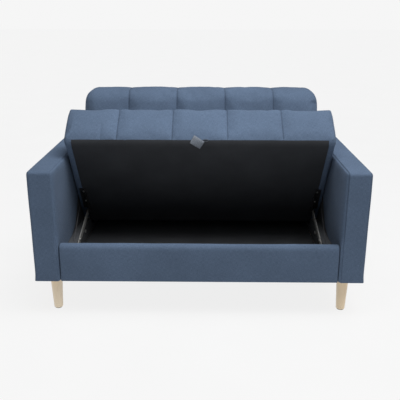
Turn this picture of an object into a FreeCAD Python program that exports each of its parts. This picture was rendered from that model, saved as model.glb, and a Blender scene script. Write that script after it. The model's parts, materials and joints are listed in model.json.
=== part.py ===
import FreeCAD, Part
import math
import os

# Storage sofa with a seat that lifts up.
# Millimetres. X runs across the sofa, Y from front to back, Z up.
# The origin lies on the floor under the middle of the sofa.
# In this file a depth d is measured backwards from the front plane of the arms.
# The seat is drawn closed and then turned about its hinge axis into the open pose.

# Overall sizes
WIDTH = 1220.0
DEPTH = 740.0
ARM_HEIGHT = 558.0
ARM_THICKNESS = 95.0
BASE_HEIGHT = 135.0
ARM_GAP = WIDTH - 2 * ARM_THICKNESS
HALF_GAP = ARM_GAP / 2
HALF_WIDTH = WIDTH / 2

# Boards, timber, cloth and clearances
PANEL_BOARD = 15.0
SIDE_BOARD = 9.0
THIN_BOARD = 6.0
TIMBER = 25.0
CLOTH = 2.0
LINING = 1.0
SLIP = 0.1

# Arms
ARM_PAD = 8.0
ARM_PAD_FRONT = 12.0
ARM_OUTER_ROUND = 14.0
ARM_TOP_ROUND = 12.0

# Storage box between the arms
FRONT_PANEL_FACE = 2.0
FRONT_PANEL_THICKNESS = 36.0
FRONT_PANEL_TOP = 281.0
FRONT_PANEL_PAD = 12.0
FRONT_PANEL_ROUND = 13.0
BATTEN_HEIGHT = 14.0
BATTEN_WIDTH = 60.0
FLOOR_BOTTOM = BASE_HEIGHT + BATTEN_HEIGHT
FLOOR_TOP = FLOOR_BOTTOM + THIN_BOARD
REAR_BOARD_FACE = 703.0
RAIL_THICKNESS = 32.0
RAIL_TOP = 230.0
RAIL_LOW_TOP = 184.0
RAIL_HIGH_END = 440.0
RAIL_LOW_START = 486.0

# Seat, drawn closed
SEAT_WIDTH = 1020.0
SEAT_LENGTH = 512.0
SEAT_THICKNESS = 171.0
SEAT_FRONT = -18.0
SEAT_UNDERSIDE = 286.0
SEAT_CROWN = 8.0
SEAT_FRONT_BULGE = 5.0
SEAT_FRAME_HEIGHT = 46.0
SEAT_BORDER = 28.0
STITCH_PITCH = 210.0
CHANNEL_DEPTH = 6.0

# Hinge that carries the seat
OPEN_ANGLE = 55.5
HINGE_DEPTH = 406.0
HINGE_DROP = 12.0
HINGE_HEIGHT = SEAT_UNDERSIDE - HINGE_DROP
PIVOT_RADIUS = 4.0
BAR_WIDTH = 22.0
BAR_THICKNESS = 4.0
BAR_SLOPE = 16.0
BAR_LENGTH = 290.0
BAR_HOLES = (200.0, 237.0, 274.0)
BRACKET_START = 266.0
BRACKET_END = 393.0
BRACKET_WIDTH = 24.0
BRACKET_STEEL = 3.0
BRACKET_SCREWS = (283.0, 346.0)
BRACKET_SPARE_HOLES = (321.0, 374.0)
WASHER_THICKNESS = 2.0
WASHER_RADIUS = 10.0

# Back
BACK_WIDTH = 1014.0
BACK_BOTTOM = 471.0
BACK_TOP = 760.0
BACK_FRONT_LOW = 515.0
BACK_FRONT_HIGH = 608.0
BACK_REAR = DEPTH - CLOTH
BACK_PAD = 78.0
BACK_CORNER = 45.0
BACK_BULGE = 9.0

# Legs
LEG_X = 545.0
LEG_INSET = 60.0
LEG_TOP_RADIUS = 23.0
LEG_FOOT_RADIUS = 16.5
GLIDE_HEIGHT = 3.0
GLIDE_RADIUS = 13.5
PLATE_SIDE = 60.0
PLATE_THICKNESS = 2.0
LEG_TOP = BASE_HEIGHT - PLATE_THICKNESS

# Blank tag sewn to the front edge under the seat
TAG_LENGTH = 45.0
TAG_WIDTH = 33.0
TAG_THICKNESS = 0.8
TAG_TURN = 32.0

# Turned legs have many flat sides, because a round cone needs thousands of facets
LEG_SIDES = 28

X_AXIS = FreeCAD.Vector(1, 0, 0)
Z_AXIS = FreeCAD.Vector(0, 0, 1)
nodes = {}


def at(x, d, z):
    return FreeCAD.Vector(x, d - DEPTH / 2, z)


def block(x0, x1, d0, d1, z0, z1):
    return Part.makeBox(x1 - x0, d1 - d0, z1 - z0, at(x0, d0, z0))


def cross_rod(radius, x0, x1, d, z):
    return Part.makeCylinder(radius, x1 - x0, at(x0, d, z), X_AXIS)


def upright_rod(radius, x, d, z0, z1):
    return Part.makeCylinder(radius, z1 - z0, at(x, d, z0), Z_AXIS)


def cross_peg(radius, x0, x1, d, z, sides=12):
    """A plain shank, its hole or a bolt's head along X, drawn with flat sides."""
    points = []
    for i in range(sides):
        turn = 2 * math.pi * i / sides
        points.append((d + radius * math.cos(turn), z + radius * math.sin(turn)))
    return prism(points, x0, x1)


def turned(rings, x, d, sides):
    """An upright turned form through rings of (radius, height), drawn with flat sides."""
    loops = []
    for radius, z in rings:
        loop = []
        for i in range(sides):
            turn = 2 * math.pi * (i + 0.5) / sides
            loop.append(at(x + radius * math.cos(turn), d + radius * math.sin(turn), z))
        loops.append(loop)
    faces = [Part.Face(Part.makePolygon(loop + loop[:1])) for loop in (loops[0], loops[-1])]
    for low, high in zip(loops[:-1], loops[1:]):
        for i in range(sides):
            j = (i + 1) % sides
            corners = [low[i], low[j], high[j], high[i], low[i]]
            faces.append(Part.Face(Part.makePolygon(corners)))
    solid = Part.makeSolid(Part.makeShell(faces))
    if solid.Volume < 0:
        solid.reverse()
    return solid


def upright_peg(radius, x, d, z0, z1):
    return turned([(radius, z0), (radius, z1)], x, d, 12)


def prism(points, x0, x1):
    """A flat outline of depth and height points, x0 to x1 thick."""
    corners = [at(x0, d, z) for d, z in points]
    face = Part.Face(Part.makePolygon(corners + corners[:1]))
    return face.extrude(FreeCAD.Vector(x1 - x0, 0, 0))


def mirrored(shape):
    return shape.mirror(FreeCAD.Vector(0, 0, 0), X_AXIS)


def both_sides(name, shape):
    """Keeps a piece of the right side and its mirror image on the left."""
    nodes["right_" + name] = shape
    nodes["left_" + name] = mirrored(shape)


def group(shapes):
    """Identical small pieces that share one node as separate solids."""
    return Part.makeCompound(shapes)


def opened(shape):
    """Turns a piece of the closed seat about the hinge axis into the open pose."""
    turned = shape.copy()
    turned.rotate(at(0, HINGE_DEPTH, HINGE_HEIGHT), X_AXIS, -OPEN_ANGLE)
    return turned


def padded_outline(x, corners, bulges):
    """A closed wire at x with rounded corners (d, z, radius) and sides that swell by their bulge.

    The corners run clockwise as seen from the right, so that outwards is left of each side.
    """
    count = len(corners)
    points = [at(x, d, z) for d, z, _ in corners]
    starts = []
    ends = []
    middles = []
    for i in range(count):
        to_last = (points[i - 1] - points[i]).normalize()
        to_next = (points[(i + 1) % count] - points[i]).normalize()
        half = to_last.getAngle(to_next) / 2
        radius = corners[i][2]
        reach = radius / math.tan(half)
        towards_centre = (to_last + to_next).normalize()
        starts.append(points[i] + to_last * reach)
        ends.append(points[i] + to_next * reach)
        middles.append(points[i] + towards_centre * (radius / math.sin(half) - radius))
    edges = []
    for i in range(count):
        edges.append(Part.Arc(starts[i], middles[i], ends[i]).toShape())
        first = ends[i]
        last = starts[(i + 1) % count]
        along = (last - first).normalize()
        outwards = FreeCAD.Vector(0, -along.z, along.y)
        if bulges[i]:
            middle = (first + last) * 0.5 + outwards * bulges[i]
            edges.append(Part.Arc(first, middle, last).toShape())
        else:
            edges.append(Part.LineSegment(first, last).toShape())
    return Part.Wire(edges)


def seat_section(x, inset, share):
    """The closed seat's outline at x. Share is how much of its swell is left there."""
    front = SEAT_FRONT + inset
    top = SEAT_UNDERSIDE + SEAT_THICKNESS - inset
    rear = SEAT_FRONT + SEAT_LENGTH - inset / 2
    corners = [
        (front, SEAT_UNDERSIDE, 9.0),
        (front, top, 20.0),
        (rear, top, 24.0),
        (rear, SEAT_UNDERSIDE, 8.0),
    ]
    bulges = [SEAT_FRONT_BULGE * share, SEAT_CROWN * share, 2.0 * share, 0]
    return padded_outline(x, corners, bulges)


def back_section(x, inset, share, drop=0.0):
    """The back's outline at x, reclined in front and upright behind."""
    lean = (BACK_FRONT_HIGH - BACK_FRONT_LOW) / (BACK_TOP - BACK_BOTTOM)
    top = BACK_TOP - inset / 2 - drop
    front_top = BACK_FRONT_HIGH + inset - drop * lean
    corners = [
        (BACK_FRONT_LOW + inset, BACK_BOTTOM, 14.0),
        (front_top, top, 32.0),
        (BACK_REAR, top, 22.0),
        (BACK_REAR, BACK_BOTTOM, 3.0),
    ]
    bulges = [BACK_BULGE * share, 3.0 * share, 0, 0]
    return padded_outline(x, corners, bulges)


def seam_stations(start, end, last_seam):
    """Stations from a sewn channel at start to the next at end, or to a plain end.

    Each is (x, inset, share of swell): the cover is drawn in at a seam and swells beyond it.
    """
    width = end - start
    reaches = [0.0, 6.0, 24.0, width / 2]
    stations = []
    for reach in reaches:
        pull = math.exp(-reach / 12.0)
        stations.append((start + reach, CHANNEL_DEPTH * pull, 1 - 0.7 * pull))
    if last_seam:
        return stations
    return stations + [(start + end - x, inset, share) for x, inset, share in stations[-2::-1]]


def channelled(section, half_width, end_stations):
    """A padded form in five columns, each swelling between its sewn channels.

    End stations are (distance from the end, inset, share of swell, further numbers).
    """
    seams = [(i - 1.5) * STITCH_PITCH for i in range(4)]
    columns = []
    for left, right in zip(seams[:-1], seams[1:]):
        stations = seam_stations(left, right, False)
        columns.append(Part.makeLoft([section(*s) for s in stations], True, True))
    stations = seam_stations(seams[-1], half_width, True)
    stations += [(half_width - s[0],) + tuple(s[1:]) for s in end_stations]
    end = Part.makeLoft([section(*s) for s in stations], True, True)
    columns += [end, mirrored(end)]
    return columns[0].multiFuse(columns[1:]).removeSplitter()


def make_arms():
    """Each arm is two boards on four timbers, under a padded cover that is open below."""
    inner = HALF_GAP + ARM_PAD
    outer = HALF_WIDTH - ARM_PAD - CLOTH
    front = ARM_PAD_FRONT
    rear = DEPTH - ARM_PAD
    top = ARM_HEIGHT - ARM_PAD_FRONT
    cover = block(HALF_GAP, HALF_WIDTH, 0, DEPTH, BASE_HEIGHT, ARM_HEIGHT)
    outer_uprights = []
    for edge in cover.Edges:
        middle = edge.CenterOfMass
        if abs(middle.x - HALF_WIDTH) < 1 and BASE_HEIGHT + 1 < middle.z < ARM_HEIGHT - 1:
            outer_uprights.append(edge)
    cover = cover.makeFillet(ARM_OUTER_ROUND, outer_uprights)
    top_edges = [e for e in cover.Edges if abs(e.CenterOfMass.z - ARM_HEIGHT) < 1]
    cover = cover.makeFillet(ARM_TOP_ROUND, top_edges)
    hollow = block(inner, outer, front, rear, BASE_HEIGHT, top)
    cover = cover.cut(hollow)
    both_sides("arm_cover", cover)
    both_sides("arm_inner_board", block(inner, inner + SIDE_BOARD, front, rear, BASE_HEIGHT, top))
    both_sides("arm_outer_board", block(outer - SIDE_BOARD, outer, front, rear, BASE_HEIGHT, top))
    core_inner = inner + SIDE_BOARD
    core_outer = outer - SIDE_BOARD
    both_sides("arm_top_rail", block(core_inner, core_outer, front, rear, top - TIMBER, top))
    both_sides(
        "arm_bottom_rail",
        block(core_inner, core_outer, front, rear, BASE_HEIGHT, BASE_HEIGHT + TIMBER),
    )
    low = BASE_HEIGHT + TIMBER
    high = top - TIMBER
    both_sides("arm_front_post", block(core_inner, core_outer, front, front + TIMBER, low, high))
    both_sides("arm_rear_post", block(core_inner, core_outer, rear - TIMBER, rear, low, high))


def make_front_panel():
    """The padded front of the box: a board in a cover that wraps its front, top and inside."""
    half = HALF_GAP - 0.5
    rear = FRONT_PANEL_FACE + FRONT_PANEL_THICKNESS
    corners = [
        (FRONT_PANEL_FACE, BASE_HEIGHT, 3.0),
        (FRONT_PANEL_FACE, FRONT_PANEL_TOP, FRONT_PANEL_ROUND),
        (rear, FRONT_PANEL_TOP, FRONT_PANEL_ROUND - 3),
        (rear, BASE_HEIGHT, 2.0),
    ]
    outline = padded_outline(-half, corners, [1.8, 1.5, 0, 0])
    cover = Part.Face(outline).extrude(FreeCAD.Vector(2 * half, 0, 0))
    board_front = FRONT_PANEL_FACE + FRONT_PANEL_PAD
    board_half = half - 6
    board = block(
        -board_half,
        board_half,
        board_front,
        board_front + PANEL_BOARD,
        BASE_HEIGHT,
        FRONT_PANEL_TOP - FRONT_PANEL_PAD,
    )
    nodes["front_panel_board"] = board
    nodes["front_panel_cover"] = cover.cut(board)


def make_box():
    """Floor, battens, side rails and rear board of the storage box, with their black linings."""
    front = FRONT_PANEL_FACE + FRONT_PANEL_THICKNESS
    half = HALF_GAP - 0.5
    rear = REAR_BOARD_FACE
    nodes["floor_front_batten"] = block(
        -half, half, front, front + BATTEN_WIDTH, BASE_HEIGHT, FLOOR_BOTTOM
    )
    nodes["floor_rear_batten"] = block(
        -half, half, rear - BATTEN_WIDTH, rear, BASE_HEIGHT, FLOOR_BOTTOM
    )
    nodes["box_floor"] = block(-half, half, front, rear, FLOOR_BOTTOM, FLOOR_TOP)
    nodes["rear_board"] = block(
        -half, half, rear, rear + SIDE_BOARD, BASE_HEIGHT, BACK_BOTTOM - 1
    )
    rail_inner = HALF_GAP - RAIL_THICKNESS
    rail = prism(
        [
            (front, FLOOR_TOP),
            (front, RAIL_TOP),
            (RAIL_HIGH_END, RAIL_TOP),
            (RAIL_LOW_START, RAIL_LOW_TOP),
            (rear, RAIL_LOW_TOP),
            (rear, FLOOR_TOP),
        ],
        rail_inner,
        HALF_GAP,
    )
    both_sides("box_rail", rail)
    floor = block(
        -rail_inner, rail_inner, front, rear, FLOOR_TOP, FLOOR_TOP + LINING
    )
    front_skin = block(
        -rail_inner, rail_inner, front, front + LINING, FLOOR_TOP, FRONT_PANEL_TOP - 16
    )
    rear_skin = block(-rail_inner, rail_inner, rear - LINING, rear, FLOOR_TOP, BACK_BOTTOM - 1)
    nodes["box_lining"] = floor.fuse(front_skin).fuse(rear_skin).removeSplitter()
    side = prism(
        [
            (front + 90, RAIL_TOP),
            (front + 194, RAIL_TOP + 3),
            (front + 260, RAIL_TOP + 24),
            (front + 310, RAIL_TOP + 83),
            (front + 348, RAIL_TOP + 150),
            (front + 420, RAIL_TOP + 212),
            (rear - 2, RAIL_TOP + 218),
            (rear - 2, RAIL_LOW_TOP + 1),
            (RAIL_LOW_START, RAIL_LOW_TOP + 1),
            (RAIL_HIGH_END + 1, RAIL_TOP),
        ],
        HALF_GAP - LINING,
        HALF_GAP,
    )
    nodes["side_linings"] = group([side, mirrored(side)])
    nodes["bottom_dust_cover"] = block(
        -half + 4, half - 4, 10, rear, BASE_HEIGHT - LINING, BASE_HEIGHT
    )


def make_back():
    """A wedge of two cheeks, boards and rails, with posts down to the base and a padded cover."""
    half = BACK_WIDTH / 2
    corner = []
    for angle in (0, 18, 36, 54, 70, 82):
        turn = math.radians(angle)
        from_end = BACK_CORNER * (1 - math.sin(turn))
        drop = BACK_CORNER * (1 - math.cos(turn))
        corner.append((from_end, 12.0 * (angle / 90.0) ** 3, 1 - angle / 110.0, drop))
    corner.append((0.0, 13.0, 0.15, BACK_CORNER * 0.97))
    cushion = channelled(back_section, half, corner)
    inner_half = half - 9.0
    lean = (BACK_FRONT_HIGH - BACK_FRONT_LOW) / (BACK_TOP - BACK_BOTTOM)
    low_front = BACK_FRONT_LOW + BACK_PAD
    top = BACK_TOP - 32.0
    high_front = low_front + (top - BACK_BOTTOM) * lean * 0.85
    hollow_points = [
        (low_front, BACK_BOTTOM),
        (high_front, top),
        (BACK_REAR, top),
        (BACK_REAR, BACK_BOTTOM),
    ]
    hollow_half = inner_half - 18.0
    hollow = prism(hollow_points, -hollow_half, hollow_half)
    nodes["back_cushion"] = cushion.cut(hollow)
    board_points = [
        (low_front, BACK_BOTTOM),
        (high_front, top),
        (high_front + THIN_BOARD, top),
        (low_front + THIN_BOARD, BACK_BOTTOM),
    ]
    nodes["back_front_board"] = prism(board_points, -hollow_half, hollow_half)
    cheek_points = [
        (low_front + THIN_BOARD, BACK_BOTTOM),
        (high_front + THIN_BOARD, top),
        (BACK_REAR, top),
        (BACK_REAR, BACK_BOTTOM),
    ]
    cheek = prism(cheek_points, hollow_half - PANEL_BOARD, hollow_half)
    both_sides("back_cheek", cheek)
    between = hollow_half - PANEL_BOARD
    post_front = REAR_BOARD_FACE + SIDE_BOARD
    nodes["back_top_rail"] = block(
        -between, between, high_front + THIN_BOARD + 1, BACK_REAR, top - TIMBER, top
    )
    nodes["back_bottom_rail"] = block(
        -between,
        between,
        low_front + THIN_BOARD + TIMBER * 0.4,
        post_front,
        BACK_BOTTOM,
        BACK_BOTTOM + TIMBER,
    )
    post = block(
        between - 2 * TIMBER, between - TIMBER, post_front, BACK_REAR, BASE_HEIGHT, top - TIMBER
    )
    both_sides("back_post", post)
    cover_half = half - 6.0
    cover_top = BACK_TOP - 25.0
    cover = block(-cover_half, cover_half, BACK_REAR, DEPTH, BASE_HEIGHT, cover_top)
    corners = [e for e in cover.Edges if e.Length < CLOTH + 0.1 and e.CenterOfMass.z > BACK_BOTTOM]
    nodes["back_rear_cover"] = cover.makeFillet(BACK_CORNER, corners)


def make_seat():
    """The lifting seat: rails and a deck inside a channelled cushion, with a lining below."""
    half = SEAT_WIDTH / 2
    ends = [(26.0, 0.6, 0.9), (9.0, 3.0, 0.7), (2.0, 7.0, 0.4), (0.0, 11.0, 0.2)]
    cushion = channelled(seat_section, half, ends)
    frame_half = half - 12.0
    frame_front = SEAT_FRONT + 24.0
    frame_rear = SEAT_FRONT + SEAT_LENGTH - 12.0
    frame_low = SEAT_UNDERSIDE + CLOTH
    frame_high = frame_low + SEAT_FRAME_HEIGHT
    deck_high = frame_high + SIDE_BOARD
    opening_half = half - SEAT_BORDER
    opening_front = SEAT_FRONT + SEAT_BORDER
    opening_rear = SEAT_FRONT + SEAT_LENGTH - SEAT_BORDER
    hollow = block(-frame_half, frame_half, frame_front, frame_rear, frame_low, deck_high)
    opening = block(
        -opening_half, opening_half, opening_front, opening_rear, SEAT_UNDERSIDE, frame_low
    )
    cushion = cushion.cut(hollow.fuse(opening))
    side_inner = frame_half - 34.0
    nodes["seat_front_rail"] = block(
        -frame_half, frame_half, frame_front, frame_front + TIMBER, frame_low, frame_high
    )
    nodes["seat_rear_rail"] = block(
        -frame_half, frame_half, frame_rear - TIMBER, frame_rear, frame_low, frame_high
    )
    between_front = frame_front + TIMBER
    between_rear = frame_rear - TIMBER
    side_rail = block(side_inner, frame_half, between_front, between_rear, frame_low, frame_high)
    both_sides("seat_rail", side_rail)
    nodes["seat_centre_rail"] = block(
        -TIMBER / 2, TIMBER / 2, between_front, between_rear, frame_low, frame_high
    )
    nodes["seat_deck"] = block(
        -frame_half, frame_half, frame_front, frame_rear, frame_high, deck_high
    )
    nodes["seat_lining"] = opening
    nodes["seat_cushion"] = cushion
    tag = block(
        -TAG_LENGTH / 2,
        TAG_LENGTH / 2,
        -TAG_WIDTH / 2,
        TAG_WIDTH / 2,
        SEAT_UNDERSIDE - TAG_THICKNESS,
        SEAT_UNDERSIDE,
    )
    tag.rotate(at(0, 0, 0), Z_AXIS, TAG_TURN)
    tag.translate(FreeCAD.Vector(-8.0, SEAT_FRONT + 24.0, 0))
    nodes["blank_tag"] = tag


def make_hinges():
    """Two friction hinges: a bracket under the seat turns on a bolt in a bar on the box."""
    rail_inner = HALF_GAP - RAIL_THICKNESS
    bar_inner = rail_inner - BAR_THICKNESS
    ear_outer = bar_inner - WASHER_THICKNESS
    ear_inner = ear_outer - BRACKET_STEEL
    half_bar = BAR_WIDTH / 2

    bar = block(
        bar_inner,
        rail_inner,
        HINGE_DEPTH - BAR_LENGTH,
        HINGE_DEPTH,
        HINGE_HEIGHT - half_bar,
        HINGE_HEIGHT + half_bar,
    )
    for reach in (0, BAR_LENGTH):
        end = cross_rod(half_bar, bar_inner, rail_inner, HINGE_DEPTH - reach, HINGE_HEIGHT)
        bar = bar.fuse(end)
    holes = [cross_rod(PIVOT_RADIUS + SLIP, bar_inner, rail_inner, HINGE_DEPTH, HINGE_HEIGHT)]
    bar_screws = []
    for reach in BAR_HOLES:
        d = HINGE_DEPTH - reach
        holes.append(cross_peg(2.7, bar_inner, rail_inner, d, HINGE_HEIGHT))
        shank = cross_peg(2.4, bar_inner, rail_inner + 30, d, HINGE_HEIGHT)
        head = cross_peg(4.8, bar_inner - 2.2, bar_inner, d, HINGE_HEIGHT)
        bar_screws.append(head.fuse(shank))
    bar = bar.removeSplitter().cut(group(holes))
    for piece in [bar] + bar_screws:
        piece.rotate(at(0, HINGE_DEPTH, HINGE_HEIGHT), X_AXIS, BAR_SLOPE)
    both_sides("hinge_box_arm", bar)
    for screw in bar_screws:
        for side in ("left", "right"):
            name = side + "_box_rail"
            piece = screw if side == "right" else mirrored(screw)
            nodes[name] = nodes[name].cut(piece)
    nodes["hinge_box_screws"] = group(bar_screws + [mirrored(s) for s in bar_screws])

    flange_low = SEAT_UNDERSIDE - BRACKET_STEEL
    flange = block(
        ear_inner, ear_inner + BRACKET_WIDTH, BRACKET_START, BRACKET_END, flange_low, SEAT_UNDERSIDE
    )
    ear = prism(
        [
            (BRACKET_START, SEAT_UNDERSIDE),
            (HINGE_DEPTH + 4, SEAT_UNDERSIDE),
            (HINGE_DEPTH + 10.4, HINGE_HEIGHT + 4),
            (HINGE_DEPTH - 3, HINGE_HEIGHT - 10.4),
            (BRACKET_END - 46, flange_low - 9),
            (BRACKET_START + 8, flange_low - 9),
            (BRACKET_START, flange_low - 3),
        ],
        ear_inner,
        ear_outer,
    )
    lobe = cross_rod(WASHER_RADIUS + 1, ear_inner, ear_outer, HINGE_DEPTH, HINGE_HEIGHT)
    bracket = flange.fuse(ear).fuse(lobe).removeSplitter()
    screw_x = ear_outer + 5.5
    cuts = [cross_rod(PIVOT_RADIUS + 0.05, ear_inner, ear_outer, HINGE_DEPTH, HINGE_HEIGHT)]
    for d in BRACKET_SCREWS + BRACKET_SPARE_HOLES:
        cuts.append(upright_peg(2.7, screw_x, d, flange_low, SEAT_UNDERSIDE))
    bracket = bracket.cut(group(cuts))
    both_sides("hinge_seat_arm", bracket)
    seat_screws = []
    for d in BRACKET_SCREWS:
        head = upright_peg(4.8, screw_x, d, flange_low - 2.4, flange_low)
        shank = upright_peg(2.4, screw_x, d, flange_low, SEAT_UNDERSIDE + 32)
        seat_screws.append(head.fuse(shank))
    seat_screws += [mirrored(s) for s in seat_screws]
    nodes["hinge_seat_screws"] = group(seat_screws)
    for name in ("seat_lining", "seat_cushion", "left_seat_rail", "right_seat_rail"):
        for screw in seat_screws:
            nodes[name] = nodes[name].cut(screw)

    washer = cross_rod(WASHER_RADIUS, ear_outer, bar_inner, HINGE_DEPTH, HINGE_HEIGHT)
    washer = washer.cut(cross_peg(4.25, ear_outer, bar_inner, HINGE_DEPTH, HINGE_HEIGHT))
    head_start = ear_inner - 0.5
    head = cross_rod(8.0, head_start - 4.0, head_start, HINGE_DEPTH, HINGE_HEIGHT)
    shank = cross_rod(PIVOT_RADIUS, head_start, rail_inner + 9.0, HINGE_DEPTH, HINGE_HEIGHT)
    bolt = head.fuse(shank)
    nut = cross_peg(7.5, rail_inner, rail_inner + 7.0, HINGE_DEPTH, HINGE_HEIGHT, sides=6)
    nut = nut.cut(cross_peg(4.25, rail_inner, rail_inner + 7.0, HINGE_DEPTH, HINGE_HEIGHT))
    fasteners = [bolt, washer, nut]
    nodes["hinge_bolts"] = group(fasteners + [mirrored(f) for f in fasteners])


def make_rail_bolts():
    """Bolts that hold the arms to the box rails, each with a pronged nut inside the arm."""
    rail_inner = HALF_GAP - RAIL_THICKNESS
    board_end = HALF_GAP + ARM_PAD + SIDE_BOARD
    places = [(92.0, 206.0), (323.0, 212.0), (600.0, 172.0)]
    pieces = []
    for d, z in places:
        head = cross_peg(7.5, rail_inner - 5.0, rail_inner, d, z, sides=6)
        shank = cross_peg(PIVOT_RADIUS, rail_inner, board_end + 5.0, d, z)
        bolt = head.fuse(shank)
        hole = cross_peg(PIVOT_RADIUS + SLIP, rail_inner, board_end + 2.0, d, z)
        nut = cross_peg(9.0, board_end, board_end + 1.5, d, z).cut(hole)
        pieces += [bolt, nut]
        for name in ("box_rail", "arm_cover", "arm_inner_board"):
            nodes["right_" + name] = nodes["right_" + name].cut(hole)
            nodes["left_" + name] = nodes["left_" + name].cut(mirrored(hole))
    nodes["rail_bolts"] = group(pieces + [mirrored(p) for p in pieces])


def make_legs():
    """Turned and tapered wooden legs on steel plates under the arms, each on a hanger bolt."""
    bolts = []
    glides = []
    plates = []
    half_plate = PLATE_SIDE / 2
    bevel = 1.5
    rings = [
        (LEG_FOOT_RADIUS - bevel, GLIDE_HEIGHT),
        (LEG_FOOT_RADIUS, GLIDE_HEIGHT + bevel),
        (LEG_TOP_RADIUS, LEG_TOP),
    ]
    for end, d in (("front", LEG_INSET), ("rear", DEPTH - LEG_INSET)):
        for side, x in (("left", -LEG_X), ("right", LEG_X)):
            hole = upright_peg(PIVOT_RADIUS + SLIP, x, d, LEG_TOP - 42, BASE_HEIGHT + 24)
            nodes[end + "_" + side + "_leg"] = turned(rings, x, d, LEG_SIDES).cut(hole)
            glide_rings = [(GLIDE_RADIUS, 0.0), (GLIDE_RADIUS, GLIDE_HEIGHT)]
            glides.append(turned(glide_rings, x, d, LEG_SIDES))
            bolts.append(upright_peg(PIVOT_RADIUS, x, d, LEG_TOP - 40, BASE_HEIGHT + 22))
            plate = block(
                x - half_plate, x + half_plate, d - half_plate, d + half_plate, LEG_TOP, BASE_HEIGHT
            )
            corners = [e for e in plate.Edges if e.Length < PLATE_THICKNESS + 0.1]
            plates.append(plate.makeFillet(9.0, corners).cut(hole))
            rail_name = side + "_arm_bottom_rail"
            nodes[rail_name] = nodes[rail_name].cut(hole)
    nodes["leg_bolts"] = group(bolts)
    nodes["leg_glides"] = group(glides)
    nodes["leg_plates"] = group(plates)


SEAT_NODES = (
    "seat_cushion",
    "seat_front_rail",
    "seat_rear_rail",
    "left_seat_rail",
    "right_seat_rail",
    "seat_centre_rail",
    "seat_deck",
    "seat_lining",
    "blank_tag",
    "left_hinge_seat_arm",
    "right_hinge_seat_arm",
    "hinge_seat_screws",
)


def main():
    make_arms()
    make_front_panel()
    make_box()
    make_back()
    make_seat()
    make_hinges()
    make_rail_bolts()
    make_legs()
    os.makedirs("parts", exist_ok=True)
    for name in sorted(nodes):
        shape = nodes[name]
        if name in SEAT_NODES:
            shape = opened(shape)
        shape.exportStep(os.path.join("parts", name + ".step"))
        print(name, len(shape.Solids), round(shape.Volume / 1000.0, 1), shape.isValid())
    print(len(nodes), "nodes")


main()
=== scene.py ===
import json
import math

import bmesh
import bpy
from mathutils import Matrix, Vector, noise


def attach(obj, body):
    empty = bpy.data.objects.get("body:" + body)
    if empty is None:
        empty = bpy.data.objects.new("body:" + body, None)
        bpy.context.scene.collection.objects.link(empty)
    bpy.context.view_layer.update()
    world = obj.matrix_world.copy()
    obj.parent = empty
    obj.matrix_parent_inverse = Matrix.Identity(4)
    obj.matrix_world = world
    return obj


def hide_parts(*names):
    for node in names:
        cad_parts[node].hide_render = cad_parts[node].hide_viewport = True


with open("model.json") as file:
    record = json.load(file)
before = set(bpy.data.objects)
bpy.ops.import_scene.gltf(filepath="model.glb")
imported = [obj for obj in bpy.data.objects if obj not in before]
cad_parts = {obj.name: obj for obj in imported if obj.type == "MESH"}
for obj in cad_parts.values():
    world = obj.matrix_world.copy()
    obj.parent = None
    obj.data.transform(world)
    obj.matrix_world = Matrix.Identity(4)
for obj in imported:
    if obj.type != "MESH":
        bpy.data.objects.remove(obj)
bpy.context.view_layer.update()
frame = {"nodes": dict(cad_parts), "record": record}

# Metres, in the frame of the CAD model. A depth d is measured backwards from the arms' front.
# The outside, the arms and the front panel.
DEPTH = 0.740
HALF_WIDTH = 0.610
ARM_WIDTH = 0.095
HALF_GAP = HALF_WIDTH - ARM_WIDTH
ARM_TOP = 0.558
ARM_INNER = HALF_GAP + 0.009
ARM_BULGE = 0.0086
ARM_RIM = 0.014
BASE = 0.135
PANEL_HALF = HALF_GAP - 0.0008
PANEL_FRONT = 0.002
PANEL_REAR = 0.038
PANEL_TOP = 0.281

# The seat when it is closed.
SEAT_HALF = HALF_GAP - 0.0025
SEAT_FRONT = -0.018
SEAT_REAR = 0.494
SEAT_LOW = 0.286
SEAT_HIGH = 0.464
SEAT_ROLL = 0.034
SEAT_REAR_ROLL = 0.008
SEAT_TOP_FRONT = 0.012
SEAT_TOP_REAR = 0.015
SEAT_END = 0.006
BORDER = 0.028
PLEAT = -0.378

# The back. It is shaped as a plain box BACK_PLAIN deep and then given its wedge form.
BACK_HALF = HALF_GAP - 0.008
BACK_LOW = 0.466
BACK_HIGH = 0.760
BACK_REAR = DEPTH - 0.002
BACK_CORNER = 0.045
BACK_FRONT_LOW = 0.509
BACK_LEAN = 0.099
BACK_PLAIN = 0.170
REAR_COVER = DEPTH - 0.0008

# The sewn channels of the seat and the back, and how far apart their points are.
SEAMS = (-0.315, -0.105, 0.105, 0.315)
SEAM_DEPTH = 0.0055
SEAM_WIDTH = 0.009
BESIDE_SEAM = (0.0, 0.0022, 0.006, 0.013)
COLUMN_STEP = 0.0135
ROW_STEP = 0.0125

# The storage box and its linings. A cut holds the two sides of a cloth laid flat.
FLOOR_CLOTH = 0.1615
RAIL_INNER = HALF_GAP - 0.032
REAR_BOARD = 0.703
BOTTOM_FRONT = 0.010
BOTTOM_CUT = (1.021, 0.693)

# The legs, as rings of (radius, height).
LEG_PLACES = [(x, d) for x in (-0.545, 0.545) for d in (0.060, 0.680)]
LEG_TOP = 0.133
LEG_RINGS = [
    (0.0120, 0.0030),
    (0.0152, 0.0030),
    (0.0161, 0.0036),
    (0.0166, 0.0050),
    (0.0170, 0.0120),
    (0.0226, LEG_TOP - 0.0016),
    (0.0222, LEG_TOP - 0.0004),
    (0.0214, LEG_TOP),
]

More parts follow.
